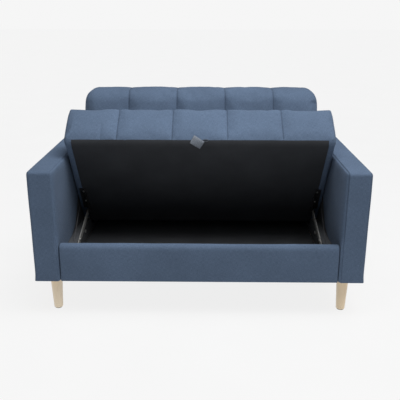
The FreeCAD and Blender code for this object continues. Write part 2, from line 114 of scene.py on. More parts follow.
# The cloth flap beside the seat: its upper edge as (depth, height), its hem as (x, depth, height).
FLAP_EDGE = [
    (0.128, 0.2312),
    (0.232, 0.2335),
    (0.298, 0.254),
    (0.348, 0.313),
    (0.386, 0.380),
    (0.458, 0.4415),
    (0.7005, 0.4475),
]
FLAP_HEM = [(0.4925, 0.155, 0.2318), (0.503, 0.300, 0.2832), (0.5128, 0.443, 0.334)]

# The screws under the seat and the tag.
SCREW_PLACES = [(x, d) for x in (-0.4825, 0.4825) for d in (0.283, 0.346)]
TAG_CUT = (0.045, 0.033)

# A point belongs to a face of a cover when its way out points that way by more than this share.
FACING = 0.5

# The distance to a seam, in metres, that stands for no seam near.
NO_SEAM = 1.0


def at(x, d, z):
    """The point of the frame at a place across, a depth and a height."""
    return Vector((x, d - DEPTH / 2, z))


HINGE = at(0, 0.406, 0.274)
OPENING = Matrix.Rotation(-math.radians(55.5), 3, "X")


def opened(point):
    """Turns a point of the closed seat about the hinge axis into the open pose."""
    return HINGE + OPENING @ (point - HINGE)


# Materials


def add(tree, kind, inputs=None, **settings):
    """A shader node with its settings. An input is a number, a tuple or another node's output."""
    node = tree.nodes.new(kind)
    for name, value in settings.items():
        setattr(node, name, value)
    for key, value in (inputs or {}).items():
        if isinstance(value, bpy.types.NodeSocket):
            tree.links.new(value, node.inputs[key])
        else:
            node.inputs[key].default_value = value
    return node


def material(name, sockets):
    """A new material, its node tree and its shader, with numbers set on the shader's sockets."""
    made = bpy.data.materials.new(name)
    made.use_nodes = True
    shader = made.node_tree.nodes["Principled BSDF"]
    for key, value in sockets.items():
        shader.inputs[key].default_value = value
    return made, made.node_tree, shader


def on_body(tree):
    """The place on the object, in metres."""
    return add(tree, "ShaderNodeTexCoord").outputs["Object"]


def stretched(tree, vector, scale):
    return add(tree, "ShaderNodeMapping", {"Vector": vector, "Scale": scale}).outputs[0]


def noise_of(tree, vector, scale=1.0, detail=2.0):
    inputs = {"Vector": vector, "Scale": scale, "Detail": detail, "Roughness": 0.55}
    return add(tree, "ShaderNodeTexNoise", inputs).outputs["Fac"]


def math_of(tree, operation, first, second=0.0, third=0.0):
    inputs = {0: first, 1: second, 2: third}
    return add(tree, "ShaderNodeMath", inputs, operation=operation).outputs[0]


def ramp(tree, value, low, high, to_low=0.0, to_high=1.0):
    """Maps a value between low and high to one between to_low and to_high, and stops there."""
    inputs = {
        "Value": value,
        "From Min": low,
        "From Max": high,
        "To Min": to_low,
        "To Max": to_high,
    }
    return add(tree, "ShaderNodeMapRange", inputs).outputs["Result"]


def mixed(tree, share, first, second, blend="MIX"):
    """Two colours mixed by a share. The sockets are numbered, as several have the same name."""
    node = add(tree, "ShaderNodeMix", data_type="RGBA", blend_type=blend)
    for index, value in ((0, share), (6, first), (7, second)):
        if isinstance(value, bpy.types.NodeSocket):
            tree.links.new(value, node.inputs[index])
        else:
            node.inputs[index].default_value = value
    return node.outputs[2]


def grey(value):
    return (value, value, value, 1.0)


def grey_of(tree, value):
    """A grey colour from a node's output."""
    return add(tree, "ShaderNodeCombineColor", {0: value, 1: value, 2: value}).outputs[0]


def scaled(colour, share):
    return tuple(share * channel for channel in colour[:3]) + (1.0,)


def painted(tree, shader, colour, rough, strength, depth, height):
    """Links a colour, a roughness and a bump to a shader."""
    tree.links.new(colour, shader.inputs["Base Color"])
    tree.links.new(rough, shader.inputs["Roughness"])
    inputs = {"Strength": strength, "Distance": depth, "Height": height}
    bump = add(tree, "ShaderNodeBump", inputs)
    tree.links.new(bump.outputs[0], shader.inputs["Normal"])


def woven(name, dark, light, pitch, rough, sheen, depth):
    """Cloth of crossed threads of uneven thickness and colour, with a crease at its seams that holds
    painted shade.
    """
    sockets = {"Sheen Weight": sheen, "Sheen Roughness": 0.3, "Specular IOR Level": 0.12}
    made, tree, shader = material(name, sockets)
    flat = add(tree, "ShaderNodeUVMap", uv_map="Weave").outputs["UV"]
    fine = 760.0
    long = 90.0
    across = noise_of(tree, stretched(tree, flat, (long, fine, 1.0)), detail=3.0)
    along = noise_of(tree, stretched(tree, flat, (fine, long, 1.0)), detail=3.0)
    slubs = math_of(tree, "MULTIPLY", math_of(tree, "ADD", across, along), 0.5)
    split = add(tree, "ShaderNodeSeparateXYZ", {"Vector": flat})
    turns = 2 * math.pi / pitch
    over = math_of(tree, "SINE", math_of(tree, "MULTIPLY", split.outputs[0], turns))
    under = math_of(tree, "SINE", math_of(tree, "MULTIPLY", split.outputs[1], turns))
    threads = math_of(tree, "MULTIPLY", over, under)
    mottled = math_of(tree, "MULTIPLY_ADD", threads, 0.06, slubs)
    colour = mixed(tree, ramp(tree, mottled, 0.36, 0.64), dark, light)
    cloud = noise_of(tree, on_body(tree), scale=5.0, detail=3.0)
    faded = ramp(tree, cloud, 0.3, 0.7, to_low=0.9, to_high=1.08)
    colour = mixed(tree, 1.0, colour, grey_of(tree, faded), "MULTIPLY")
    seam = add(tree, "ShaderNodeAttribute", attribute_name="Seam").outputs["Fac"]
    # The crease at a seam is grooved in the bump and darkened in the colour: painted shade in the
    # crease.
    crease = ramp(tree, seam, 0.0004, 0.0030, to_low=1.0, to_high=0.0)
    shade = math_of(tree, "MULTIPLY", crease, 0.45)
    colour = mixed(tree, shade, colour, scaled(dark, 0.4))
    rougher = ramp(tree, slubs, 0.3, 0.7, rough - 0.05, min(1.0, rough + 0.05))
    height = math_of(tree, "MULTIPLY_ADD", threads, 0.25, slubs)
    height = math_of(tree, "SUBTRACT", height, math_of(tree, "MULTIPLY", crease, 1.2))
    painted(tree, shader, colour, rougher, strength=0.5, depth=depth, height=height)
    return made


def felted(name, dark, light, rough):
    """Thin non-woven cloth, pressed all over with small dimples, a little uneven in colour."""
    sockets = {"Sheen Weight": 0.02, "Sheen Roughness": 0.4, "Specular IOR Level": 0.15}
    made, tree, shader = material(name, sockets)
    body = on_body(tree)
    cells = add(tree, "ShaderNodeTexVoronoi", {"Vector": body, "Scale": 330.0})
    fibres = noise_of(tree, stretched(tree, body, (900.0, 240.0, 900.0)), detail=3.0)
    broad = noise_of(tree, body, scale=9.0, detail=4.0)
    share = math_of(tree, "MULTIPLY_ADD", fibres, 0.5, math_of(tree, "MULTIPLY", broad, 0.6))
    colour = mixed(tree, ramp(tree, share, 0.35, 0.75), dark, light)
    rougher = ramp(tree, broad, 0.3, 0.7, rough - 0.08, rough + 0.08)
    height = math_of(tree, "MULTIPLY_ADD", cells.outputs["Distance"], 0.6, fibres)
    painted(tree, shader, colour, rougher, strength=0.35, depth=0.0004, height=height)
    return made


def timber(name, pale, dark, grain, rough, coat):
    """Wood with growth rings drawn out along one axis, pores and a slow change of colour."""
    made, tree, shader = material(name, {"Coat Weight": coat, "Coat Roughness": 0.3})
    long = stretched(tree, on_body(tree), grain)
    warp = noise_of(tree, long, scale=6.0, detail=4.0)
    inputs = {"Vector": long, "Scale": 9.0, "Distortion": 5.0, "Detail": 3.0, "Detail Scale": 1.2}
    rings = add(tree, "ShaderNodeTexWave", inputs, wave_type="RINGS").outputs["Fac"]
    pores = noise_of(tree, long, scale=160.0)
    figure = math_of(tree, "MULTIPLY_ADD", rings, 0.45, math_of(tree, "MULTIPLY", warp, 0.55))
    colour = mixed(tree, ramp(tree, figure, 0.25, 0.8), pale, dark)
    speck = math_of(tree, "MULTIPLY", ramp(tree, pores, 0.62, 0.72), 0.25)
    colour = mixed(tree, speck, colour, scaled(dark, 0.6))
    rougher = ramp(tree, figure, 0.2, 0.8, rough - 0.06, rough + 0.08)
    painted(tree, shader, colour, rougher, strength=0.2, depth=0.0003, height=pores)
    return made


def metal(name, pale, dark, rough, metallic, drawn):
    """Steel with fine drawn lines, small scuffs and an uneven coat."""
    made, tree, shader = material(name, {"Metallic": metallic})
    body = on_body(tree)
    lines = noise_of(tree, stretched(tree, body, drawn), detail=3.0)
    cloud = noise_of(tree, body, scale=60.0, detail=4.0)
    share = math_of(tree, "MULTIPLY_ADD", cloud, 0.6, math_of(tree, "MULTIPLY", lines, 0.4))
    colour = mixed(tree, ramp(tree, share, 0.35, 0.65), dark, pale)
    rougher = ramp(tree, share, 0.3, 0.7, rough + 0.1, rough - 0.06)
    painted(tree, shader, colour, rougher, strength=0.15, depth=0.0002, height=lines)
    return made


def moulded(name, colour, rough):
    """Moulded plastic with a fine spark-eroded grain."""
    made, tree, shader = material(name, {"Specular IOR Level": 0.4})
    grain = noise_of(tree, on_body(tree), scale=1400.0)
    grainy = mixed(tree, ramp(tree, grain, 0.3, 0.8), colour, scaled(colour, 1.5))
    rougher = ramp(tree, grain, 0.3, 0.7, rough - 0.05, rough + 0.1)
    painted(tree, shader, grainy, rougher, strength=0.2, depth=0.0002, height=grain)
    return made


UPHOLSTERY = woven(
    "Upholstery",
    dark=(0.064, 0.095, 0.150, 1),
    light=(0.117, 0.164, 0.244, 1),
    pitch=0.0022,
    rough=0.9,
    sheen=0.04,
    depth=0.0009,
)
TAG_CLOTH = woven(
    "TagCloth",
    dark=(0.07, 0.08, 0.10, 1),
    light=(0.24, 0.27, 0.31, 1),
    pitch=0.0035,
    rough=0.7,
    sheen=0.1,
    depth=0.0004,
)
LINING = felted(
    "Lining",
    dark=(0.023, 0.025, 0.029, 1),
    light=(0.041, 0.044, 0.050, 1),
    rough=0.8,
)
# The same black lining painted lighter for the cloth inside the box: painted fill light in the box's
# shade.
LIT_BOX_LINING = felted(
    "LitBoxLining",
    dark=(0.045, 0.048, 0.053, 1),
    light=(0.075, 0.079, 0.086, 1),
    rough=0.85,
)
HEM = felted(
    "LiningHem",
    dark=(0.05, 0.05, 0.055, 1),
    light=(0.14, 0.14, 0.15, 1),
    rough=0.6,
)
LEG_WOOD = timber(
    "LegWood",
    pale=(0.97, 0.82, 0.61, 1),
    dark=(0.90, 0.72, 0.49, 1),
    grain=(1.0, 1.0, 0.09),
    rough=0.42,
    coat=0.25,
)
BOARDS = timber(
    "Boards",
    pale=(0.62, 0.44, 0.26, 1),
    dark=(0.42, 0.27, 0.14, 1),
    grain=(0.08, 1.0, 1.0),
    rough=0.7,
    coat=0.0,
)
ZINC = metal(
    "ZincSteel",
    pale=(0.62, 0.62, 0.60, 1),
    dark=(0.42, 0.42, 0.41, 1),
    rough=0.34,
    metallic=1.0,
    drawn=(40.0, 900.0, 900.0),
)
BLACK_STEEL = metal(
    "BlackSteel",
    pale=(0.035, 0.035, 0.037, 1),
    dark=(0.016, 0.016, 0.018, 1),
    rough=0.45,
    metallic=0.35,
    drawn=(60.0, 700.0, 700.0),
)
BAR_STEEL = metal(
    "BarSteel",
    pale=(0.40, 0.40, 0.39, 1),
    dark=(0.28, 0.28, 0.27, 1),
    rough=0.5,
    metallic=0.35,
    drawn=(40.0, 900.0, 900.0),
)
GLIDE = moulded("GlidePlastic", colour=(0.02, 0.02, 0.02, 1), rough=0.5)

SLOTS = {
    "frame_board": BOARDS,
    "leg_wood": LEG_WOOD,
    "hinge_steel": BLACK_STEEL,
    "bright_steel": ZINC,
    "glide_plastic": GLIDE,
    "lining": LINING,
    "tag_cloth": TAG_CLOTH,
    "upholstery": UPHOLSTERY,
}
for part in frame["record"]["subparts"]:
    carried = frame["nodes"][part["node"]]
    carried.data.materials.clear()
    carried.data.materials.append(SLOTS[part["material_slot"]])
for name in ("left_hinge_box_arm", "right_hinge_box_arm"):
    frame["nodes"][name].data.materials[0] = BAR_STEEL
frame["nodes"]["hinge_bolts"].data.materials[0] = BLACK_STEEL


# Tools that make meshes


def piece(name, mesh, finish, body):
    """Links a mesh as a smooth piece of the object that rides on a body."""
    made = bpy.data.objects.new(name, mesh)
    bpy.context.scene.collection.objects.link(made)
    mesh.materials.append(finish)
    mesh.polygons.foreach_set("use_smooth", [True] * len(mesh.polygons))
    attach(made, body)
    return made


def finished(made, name):
    """Turns a bmesh into a named mesh."""
    mesh = bpy.data.meshes.new(name)
    made.to_mesh(mesh)
    made.free()
    return mesh


def stops(low, high, step, marks=(), near=(0.0,), ends=(0.003, 0.008, 0.016)):
    """Places from low to high, at most a step apart, and closer beside the marks and the ends."""
    found = {low, high}
    found.update(low + reach for reach in ends)
    found.update(high - reach for reach in ends)
    for mark in marks:
        found.update(mark + reach for reach in near)
        found.update(mark - reach for reach in near)
    found = sorted(round(v, 6) for v in found if low <= v <= high)
    places = [found[0]]
    for first, last in zip(found[:-1], found[1:]):
        count = max(1, math.ceil((last - first) / step - 1e-6))
        places += [first + (last - first) * (i + 1) / count for i in range(count)]
    return places


def box_shell(name, xs, ys, zs, place, seam_distance):
    """A closed box of quads. Its flat coordinates are kept as UVs in metres for the weave.

    place moves each point of the plain box. seam_distance gives its distance to a seam.
    """
    shell = bmesh.new()
    weave = shell.loops.layers.uv.new("Weave")
    seam = shell.verts.layers.float.new("Seam")
    verts = {}
    last = (len(xs) - 1, len(ys) - 1, len(zs) - 1)

    def vert(key):
        if key not in verts:
            plain = Vector((xs[key[0]], ys[key[1]], zs[key[2]]))
            verts[key] = shell.verts.new(place(plain))
            verts[key][seam] = seam_distance(plain)
        return verts[key]

    for axis in range(3):
        u, v = [i for i in range(3) if i != axis]
        for side in (0, last[axis]):
            for i in range(last[u]):
                for j in range(last[v]):
                    keys = []
                    for a, b in ((0, 0), (1, 0), (1, 1), (0, 1)):
                        key = [0, 0, 0]
                        key[axis] = side
                        key[u] = i + a
                        key[v] = j + b
                        keys.append(tuple(key))
                    face = shell.faces.new([vert(key) for key in keys])
                    for loop, key in zip(face.loops, keys):
                        plain = (xs[key[0]], ys[key[1]], zs[key[2]])
                        loop[weave].uv = (plain[u], plain[v])
    bmesh.ops.recalc_face_normals(shell, faces=shell.faces)
    return finished(shell, name)


def sheet_mesh(name, rows, columns, place):
    """An open sheet of rows by columns of points. place gives the point at two shares."""
    cloth = bmesh.new()
    weave = cloth.loops.layers.uv.new("Weave")
    seam = cloth.verts.layers.float.new("Seam")
    weave_step = 0.01
    verts = []
    for i in range(rows):
        line = []
        for j in range(columns):
            vert = cloth.verts.new(place(i / (rows - 1), j / (columns - 1)))
            vert[seam] = NO_SEAM
            line.append(vert)
        verts.append(line)
    for i in range(rows - 1):
        for j in range(columns - 1):
            corners = [verts[i][j], verts[i + 1][j], verts[i + 1][j + 1], verts[i][j + 1]]
            face = cloth.faces.new(corners)
            for loop, (a, b) in zip(face.loops, ((0, 0), (1, 0), (1, 1), (0, 1))):
                loop[weave].uv = ((i + a) * weave_step, (j + b) * weave_step)
    return finished(cloth, name)


def ring_mesh(name, rings):
    """A closed form through rings of points. Each ring has the same number of points."""
    made = bmesh.new()
    loops = [[made.verts.new(point) for point in ring] for ring in rings]
    for first, second in zip(loops[:-1], loops[1:]):
        for i in range(len(first)):
            j = (i + 1) % len(first)
            made.faces.new([first[i], first[j], second[j], second[i]])
    made.faces.new(loops[0])
    made.faces.new(loops[-1])
    bmesh.ops.recalc_face_normals(made, faces=made.faces)
    return finished(made, name)


def circle_points(centre, radius, side, up, count):
    """Points of a circle about a centre, in the plane of two ways."""
    points = []
    for i in range(count):
        turn = 2 * math.pi * i / count
        points.append(centre + radius * (math.cos(turn) * side + math.sin(turn) * up))
    return points


def tube(name, line, radius, finish, body):
    """A round cord along a line of points."""
    sides = 8
    aside = Vector((0.3, 0.2, 0.93))
    rings = []
    for index, point in enumerate(line):
        before = line[max(index - 1, 0)]
        after = line[min(index + 1, len(line) - 1)]
        ahead = (after - before).normalized()
        side = ahead.cross(aside).normalized()
        rings.append(circle_points(point, radius, side, side.cross(ahead), sides))
    return piece(name, ring_mesh(name, rings), finish, body)


def lathe(name, profile, centre, way, finish, body, sides=48):
    """A turned form through rings of (radius, distance along way) from a centre."""
    side = way.orthogonal().normalized()
    up = way.cross(side)
    rings = [circle_points(centre + way * reach, radius, side, up, sides) for radius, reach in profile]
    shown = piece(name, ring_mesh(name, rings), finish, body)
    shown.data.set_sharp_from_angle(angle=math.radians(40))
    return shown


def rounded(point, low, high, radii):
    """Moves a point of a plain box onto the box with rounded edges. Returns it and its way out."""
    core = [min(max(point[i], low[i] + radii[i]), high[i] - radii[i]) for i in range(3)]
    out = Vector([(point[i] - core[i]) / radii[i] for i in range(3)]).normalized()
    return Vector([core[i] + out[i] * radii[i] for i in range(3)]), out


def pillow(reach, width):
    """How full a stuffed face is at a distance from its sewn edge, from 0 to 1."""
    left = 1 - min(max(reach / width, 0.0), 1.0)
    return math.sqrt(1 - left * left)


def smooth_step(value, low, high):
    """Rises smoothly from 0 at low to 1 at high."""
    share = min(max((value - low) / (high - low), 0.0), 1.0)
    return share * share * (3 - 2 * share)


def arch(share, power=2):
    """1 in the middle and 0 at both ends. A higher power is flatter in the middle."""
    return 1 - (2 * share - 1) ** power


def bell(value, width):
    """1 where the value is 0, and falling off on both sides of it."""
    return math.exp(-((value / width) ** 2))


def ripple(u, v, seed):
    """Slow waves between about -1 and 1. The seed picks the pattern."""
    return noise.noise(Vector((u, v, seed)))


def fabric_noise(point, scale, amount):
    """Unevenness of a padded face, with about as many waves in a metre as the scale says."""
    return amount * noise.noise(point * scale + Vector((3.1, 7.7, 1.3)))


def seam_pull(x):
    """How far the cover is drawn in beside the channels, and how much of its swell is left."""
    nearest = min(abs(x - seam) for seam in SEAMS)
    pull = math.exp(-nearest / SEAM_WIDTH)
    return SEAM_DEPTH * pull, 1 - 0.75 * pull


def upright(out):
    """The way out without its part along x, and nothing where hardly anything else is left."""
    way = Vector((0, out.y, out.z))
    least = 0.2
    return way.normalized() if way.length > least else Vector()


def held_points(mesh, low, rear=math.inf):
    """The points that the simulation holds: a cover's lower edge, its seams and its rear."""
    hem = 0.012
    beside = 0.004
    seam = mesh.attributes["Seam"].data
    return [
        v.index
        for v in mesh.vertices
        if v.co.z < low + hem or v.co.y > rear or seam[v.index].value < beside
    ]


def inflate(shown, held, reach):
    """Blows the cover up as cloth held at some points, and moves no point further than reach."""
    frames = 18
    group = shown.vertex_groups.new(name="Held")
    group.add(held, 1.0, "REPLACE")
    cloth = shown.modifiers.new("Cloth", "CLOTH")
    settings = cloth.settings
    settings.quality = 6
    settings.mass = 0.25
    settings.tension_stiffness = 25
    settings.compression_stiffness = 18
    settings.shear_stiffness = 8
    settings.bending_stiffness = 1.2
    settings.air_damping = 3
    settings.use_pressure = True
    settings.uniform_pressure_force = 5.0
    settings.shrink_min = -0.012
    settings.vertex_group_mass = "Held"
    settings.pin_stiffness = 1.0
    settings.effector_weights.gravity = 0
    cloth.collision_settings.use_collision = False
    cloth.point_cache.frame_start = 1
    cloth.point_cache.frame_end = frames
    start = [v.co.copy() for v in shown.data.vertices]
    for number in range(1, frames + 1):
        bpy.context.scene.frame_set(number)
    swollen = shown.evaluated_get(bpy.context.evaluated_depsgraph_get())
    ends = [v.co.copy() for v in swollen.data.vertices]
    shown.modifiers.remove(cloth)
    shown.vertex_groups.remove(group)
    bpy.context.scene.frame_set(1)
    for vertex, first, end in zip(shown.data.vertices, start, ends):
        move = end - first
        if move.length > reach:
            move = move.normalized() * reach
        vertex.co = first + move
    shown.data.update()


def subdivided(shown):
    finer = shown.modifiers.new("Subdivision", "SUBSURF")
    finer.levels = 1
    finer.render_levels = 1


def thickened(shown, thickness):
    thick = shown.modifiers.new("Thickness", "SOLIDIFY")
    thick.thickness = thickness


# The seat


def seat_place(plain):
    """Moves a point of the seat's plain box onto its sewn cover."""
    low = Vector((-SEAT_HALF, SEAT_FRONT, SEAT_LOW))
    high = Vector((SEAT_HALF, SEAT_REAR, SEAT_HIGH))
    upper = smooth_step(plain.z, SEAT_LOW + 0.03, SEAT_HIGH - 0.05)
    rear = smooth_step(plain.y, SEAT_FRONT + 0.1, SEAT_REAR - 0.1)
    low_radius = SEAT_ROLL + (SEAT_REAR_ROLL - SEAT_ROLL) * rear
    high_radius = SEAT_TOP_FRONT + (SEAT_TOP_REAR - SEAT_TOP_FRONT) * rear
    radius = low_radius + (high_radius - low_radius) * upper
    point, out = rounded(plain, low, high, (SEAT_END, radius, radius))
    if out.z < -FACING:
        inside_x = SEAT_HALF - BORDER - abs(plain.x)
        inside_d = min(plain.y - SEAT_FRONT, SEAT_REAR - plain.y) - BORDER
        tolerance = 0.0002
        border_depth = 0.003
        if min(inside_x, inside_d) > -tolerance:
            point.z += border_depth
        return point
    pull, left = seam_pull(plain.x)
    deep = (plain.y - SEAT_FRONT) / (SEAT_REAR - SEAT_FRONT)
    tall = (plain.z - SEAT_LOW) / (SEAT_HIGH - SEAT_LOW)
    top_crown = 0.004
    end_crown = 0.003
    crown = 0.0
    if out.z > FACING:
        crown = top_crown * arch(deep) * left
    elif abs(out.y) > FACING:
        crown = end_crown * arch(tall) * left
    fade = smooth_step(tall, 0.0, 0.12)
    point += upright(out) * (crown - pull * fade)
    point.z += fabric_noise(plain, 9.0, 0.0012) * fade
    if out.y < -FACING:
        point.y += fabric_noise(plain, 16.0, 0.0011)
        pleat_width = 0.006
        pleat_depth = 0.0022
        lower = smooth_step(-tall, -0.62, -0.1)
        point.y += pleat_depth * bell(plain.x - PLEAT, pleat_width) * lower
    return point


def seat_seams(plain):
    reach = min(SEAT_HIGH - plain.z, plain.y - SEAT_FRONT, SEAT_REAR - plain.y)
    return min(math.hypot(plain.x - seam, reach) for seam in SEAMS)


def make_seat():
    """The seat's cover: shaped closed, blown up as cloth, then turned into the open pose."""
    across = SEAMS + (-SEAT_HALF + BORDER, SEAT_HALF - BORDER, PLEAT)
    along = (SEAT_FRONT + BORDER, SEAT_REAR - BORDER)
    xs = stops(-SEAT_HALF, SEAT_HALF, COLUMN_STEP, across, BESIDE_SEAM)
    ys = stops(SEAT_FRONT, SEAT_REAR, COLUMN_STEP, along, BESIDE_SEAM[:2])
    zs = stops(SEAT_LOW, SEAT_HIGH, ROW_STEP)
    mesh = box_shell("seat_pad", xs, ys, zs, seat_place, seat_seams)
    pad = piece("seat_pad", mesh, UPHOLSTERY, "seat")
    inflate(pad, held_points(mesh, SEAT_LOW), 0.005)
    for v in mesh.vertices:
        v.co = opened(at(v.co.x, v.co.y, v.co.z))
    subdivided(pad)
    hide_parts("seat_cushion")


def under_edge(x, reach, away):
    """A point under the seat, at a distance along its rolled front edge and then backwards.

    The distance is measured from where the roll leaves the front face. Away is the distance from
    the cover, outwards.
    """
    arc = SEAT_ROLL * math.pi / 2
    centre_d = SEAT_FRONT + SEAT_ROLL
    centre_z = SEAT_LOW + SEAT_ROLL
    if reach < 0:
        return at(x, SEAT_FRONT - away, centre_z - reach)
    if reach > arc:
        return at(x, centre_d + reach - arc, SEAT_LOW - away)
    turn = reach / SEAT_ROLL
    size = SEAT_ROLL + away
    return at(x, centre_d - size * math.cos(turn), centre_z - size * math.sin(turn))


def make_seat_lining():
    """The black cloth under the seat, from its front roll back to its rear edge."""
    overlap = 0.001
    rear_gap = 0.007
    half = SEAT_HALF - BORDER + overlap
    start = SEAT_ROLL * math.radians(38)
    end = SEAT_ROLL * math.pi / 2 + SEAT_REAR - rear_gap - SEAT_FRONT - SEAT_ROLL

    def place(i, j):
        x = -half + 2 * half * i
        wavy_edge = 0.0011 * ripple(x * 11.0, 0.0, 3.3)
        reach = start + wavy_edge * (1 - j) + (end - start) * j ** 1.3
        edge = min(half - abs(x), reach - start, end - reach)
        slack = smooth_step(edge, 0.0, 0.06)
        wave = ripple(x * 5.0, reach * 9.0, 0.4)
        wave += 0.5 * ripple(x * 17.0, reach * 11.0, 2.4)
        return opened(under_edge(x, reach, 0.0005 - 0.0009 * slack * (1 + wave)))

    mesh = sheet_mesh("seat_underside_cloth", 97, 61, place)
    cloth = piece("seat_underside_cloth", mesh, LINING, "seat")
    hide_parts("seat_lining")


# The back


def round_corner(x, z, half, top):
    """Moves a point beside a top corner from a square corner onto the round one."""
    a = (abs(x) - (half - BACK_CORNER)) / BACK_CORNER
    b = (z - (top - BACK_CORNER)) / BACK_CORNER
    if a <= 0 or b <= 0:
        return x, z
    x = math.copysign(half - BACK_CORNER + BACK_CORNER * a * math.sqrt(1 - b * b / 2), x)
    return x, top - BACK_CORNER + BACK_CORNER * b * math.sqrt(1 - a * a / 2)


def back_core(x, z, radius):
    """The nearest point of the back's outline drawn in by a radius."""
    a = abs(x) - (BACK_HALF - BACK_CORNER)
    b = z - (BACK_HIGH - BACK_CORNER)
    if a > 0 and b > 0:
        keep = min(1.0, (BACK_CORNER - radius) / math.hypot(a, b))
        x = math.copysign(BACK_HALF - BACK_CORNER + a * keep, x)
        return x, BACK_HIGH - BACK_CORNER + b * keep
    x = math.copysign(min(abs(x), BACK_HALF - radius), x)
    return x, min(max(z, BACK_LOW + radius), BACK_HIGH - radius)


def back_place(plain):
    """Moves a point of the back's plain box onto its sewn cover with the leaning front."""
    upper = smooth_step(plain.z, BACK_LOW + 0.03, BACK_HIGH - 0.10)
    rear = smooth_step(plain.y, 0.03, BACK_PLAIN - 0.03)
    front_radius = 0.010 + 0.030 * upper
    rear_radius = 0.012
    radius = front_radius + (rear_radius - front_radius) * rear
    x, z = round_corner(plain.x, plain.z, BACK_HALF, BACK_HIGH)
    core_x, core_z = back_core(x, z, radius)
    core_y = min(max(plain.y, radius), BACK_PLAIN - radius)
    out = Vector((x - core_x, plain.y - core_y, z - core_z)).normalized()
    point = Vector((core_x, core_y, core_z)) + radius * out
    front = BACK_FRONT_LOW + BACK_LEAN * (point.z - BACK_LOW) / (BACK_HIGH - BACK_LOW)
    pull, left = seam_pull(plain.x)
    tall = (plain.z - BACK_LOW) / (BACK_HIGH - BACK_LOW)
    front_facing = 0.3
    front_crown = 0.012
    top_crown = 0.001
    crown = 0.0
    if out.y < -front_facing:
        crown = front_crown * arch(tall) * left
    elif out.z > FACING:
        crown = top_crown * left
        pull *= 0.45
    if out.y < FACING:
        point += upright(out) * (crown - pull)
        point.z += fabric_noise(plain, 9.0, 0.001)
    if out.y < -FACING:
        point.y += fabric_noise(plain, 14.0, 0.0014)
    point.y = front + point.y * (BACK_REAR - front) / BACK_PLAIN
    return point


def back_seams(plain):
    reach = min(BACK_HIGH - plain.z, plain.y)
    return min(math.hypot(plain.x - seam, reach) for seam in SEAMS)


def make_back():
    """The back's cover, shaped and then blown up as cloth."""
    fine = (0.003, 0.008, 0.014, 0.020, 0.026, 0.032, 0.038, 0.044, 0.050)
    xs = stops(-BACK_HALF, BACK_HALF, COLUMN_STEP, SEAMS, BESIDE_SEAM, fine)
    ys = stops(0.0, BACK_PLAIN, COLUMN_STEP)
    zs = stops(BACK_LOW, BACK_HIGH, ROW_STEP, ends=fine)
    mesh = box_shell("back_pad", xs, ys, zs, back_place, back_seams)
    pad = piece("back_pad", mesh, UPHOLSTERY, "base")
    inflate(pad, held_points(mesh, BACK_LOW, BACK_REAR - 0.02), 0.006)
    for v in mesh.vertices:
        v.co.y = min(v.co.y, BACK_REAR) - DEPTH / 2
    subdivided(pad)
    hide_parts("back_cushion")


def make_rear_cover():
    """The cloth behind the back and down to the base, where it is wider, up to the arms."""
    top = BACK_HIGH - 0.025
    wide = HALF_GAP - 0.0015
    step = 0.0125

    def place(i, j):
        z = BASE + (top - BASE) * j
        half = wide - step * smooth_step(z, BACK_LOW + 0.003, BACK_LOW + 0.015)
        x = -half + 2 * half * i
        x, z = round_corner(x, z, half, top)
        edge = min(half - abs(x), top - z, z - BASE)
        slack = 0.0014 * smooth_step(edge, 0.0, 0.06)
        return at(x, REAR_COVER + slack * ripple(x * 4.0, z * 6.0, 9.0), z)

    mesh = sheet_mesh("back_rear_cloth", 81, 49, place)
    cloth = piece("back_rear_cloth", mesh, UPHOLSTERY, "base")
    thickened(cloth, 0.0016)
    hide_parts("back_rear_cover")


# The arms and the front panel


def hollow_below(inside):
    """How far a cover's lower face is set in, at a distance inside its edge."""
    return 0.004 * smooth_step(inside, 0.0, 0.002)


def arm_place(plain):
    """Moves a point of the right arm's plain box onto its padded cover."""
    low = Vector((ARM_INNER, 0.0, BASE))
    high = Vector((HALF_WIDTH, DEPTH, ARM_TOP))
    upper = smooth_step(plain.z, BASE, BASE + 0.03)
    outward = smooth_step(plain.x, ARM_INNER, ARM_INNER + 0.03)
    sharp = 0.003
    softer = 0.010
    radius = sharp + softer * upper
    side_radius = sharp + softer * outward * upper
    point, out = rounded(plain, low, high, (side_radius, radius, radius))
    if out.z < -FACING:
        edge = min(plain.x - ARM_INNER, HALF_WIDTH - plain.x, plain.y, DEPTH - plain.y)
        point.z += hollow_below(edge - ARM_RIM)
        return point
    if out.x > FACING:
        tall = (plain.z - BASE) / (ARM_TOP - BASE)
        fullest = 0.0022
        swell = fullest * arch(tall, 4) * arch(plain.y / DEPTH, 6)
        point.x += swell + fabric_noise(plain, 7.0, 0.0012)
    elif out.x < -FACING:
        above = smooth_step(plain.z, PANEL_TOP - 0.012, PANEL_TOP + 0.03)
        roll = pillow(plain.y, 0.004 + 0.044 * above) * pillow(ARM_TOP - plain.z, 0.040)
        roll *= pillow(DEPTH - plain.y, 0.050)
        point.x += fabric_noise(plain, 7.0, 0.0005) - ARM_BULGE * roll
    elif out.z > FACING:
        sunk = 0.0008
        fold_depth = 0.0016
        from_fold = plain.y - 0.085 - 0.25 * (plain.x - HALF_GAP)
        from_middle = plain.x - 0.555
        point.z += fabric_noise(plain, 13.0, 0.0012) - sunk
        point.z -= fold_depth * bell(from_fold, 0.010) * bell(from_middle, 0.03)
    else:
        point.y += fabric_noise(plain, 12.0, 0.0012)
    return point


